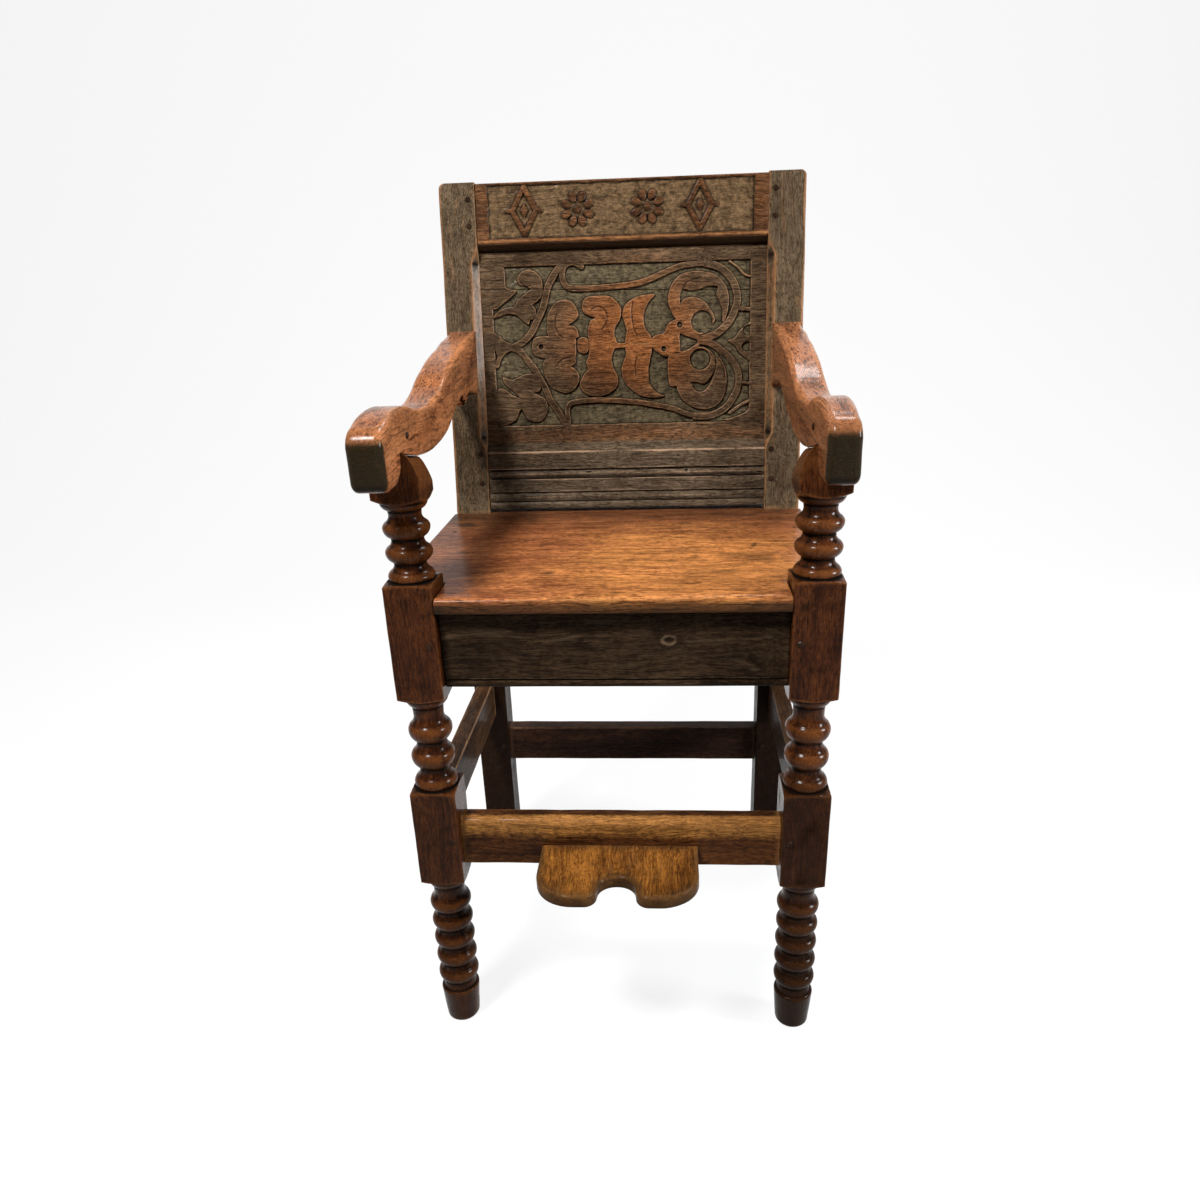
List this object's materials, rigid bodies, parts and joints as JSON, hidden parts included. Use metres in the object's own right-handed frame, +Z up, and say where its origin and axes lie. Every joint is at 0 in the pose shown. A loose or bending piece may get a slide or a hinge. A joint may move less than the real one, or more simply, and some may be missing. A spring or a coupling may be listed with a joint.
{
  "type": "child's wainscot high chair",
  "caption": "Tall joined armchair for a child, with a panelled back, boarded seat, shaped arms, ring-turned front posts, stretchers and a footrest.",
  "frame": {"origin": "on the floor, midway between the chair's sides and midway between the footrest's tip and the back's top rear edge", "axes": "+Z up, +X towards the right side as seen by someone who faces the chair, +Y towards the back"},
  "size_m": [0.46, 0.5312, 0.952],
  "materials": {
    "arms": "oak, reddish brown, polished and cracked, nearly black end grain",
    "back_panel": "carved oak, worn high points over a dark gouged ground",
    "footrest": "oak, golden brown, worn",
    "front_posts": "turned oak, reddish brown, waxed and worn",
    "front_seat_rail": "oak, dark grey-brown patina",
    "front_stretcher": "oak, golden brown where feet have worn its top",
    "lower_back_rail": "moulded oak, greenish brown patina",
    "pegs": "whittled oak, waxed",
    "rear_posts": "oak, dark brown, worn pale at the edges",
    "rear_seat_rail": "oak, dark brown",
    "rear_stretcher": "oak, very dark brown",
    "seat_boards": "oak, orange brown, polished by use",
    "side_seat_rails": "oak, dark brown patina",
    "side_stretchers": "oak, brown, dry and worn",
    "top_rail": "carved oak, worn orange-brown high points over a dark ground"
  },
  "bodies": {
    "root": {"arm_front_pegs": "pegs", "arm_left": "arms", "arm_rear_pegs": "pegs", "arm_right": "arms", "back_panel": "back_panel", "footrest": "footrest", "footrest_pegs": "pegs", "front_post_left": "front_posts", "front_post_right": "front_posts", "front_seat_rail": "front_seat_rail", "front_seat_rail_pegs": "pegs", "front_stretcher": "front_stretcher", "front_stretcher_pegs": "pegs", "lower_back_rail": "lower_back_rail", "lower_back_rail_pegs": "pegs", "rear_post_left": "rear_posts", "rear_post_right": "rear_posts", "rear_seat_rail": "rear_seat_rail", "rear_seat_rail_pegs": "pegs", "rear_stretcher": "rear_stretcher", "rear_stretcher_pegs": "pegs", "seat_board_front": "seat_boards", "seat_board_rear": "seat_boards", "seat_pins": "pegs", "side_seat_rail_left": "side_seat_rails", "side_seat_rail_pegs": "pegs", "side_seat_rail_right": "side_seat_rails", "side_stretcher_left": "side_stretchers", "side_stretcher_pegs": "pegs", "side_stretcher_right": "side_stretchers", "top_rail": "top_rail", "top_rail_pegs": "pegs"}
  },
  "joints": []
}
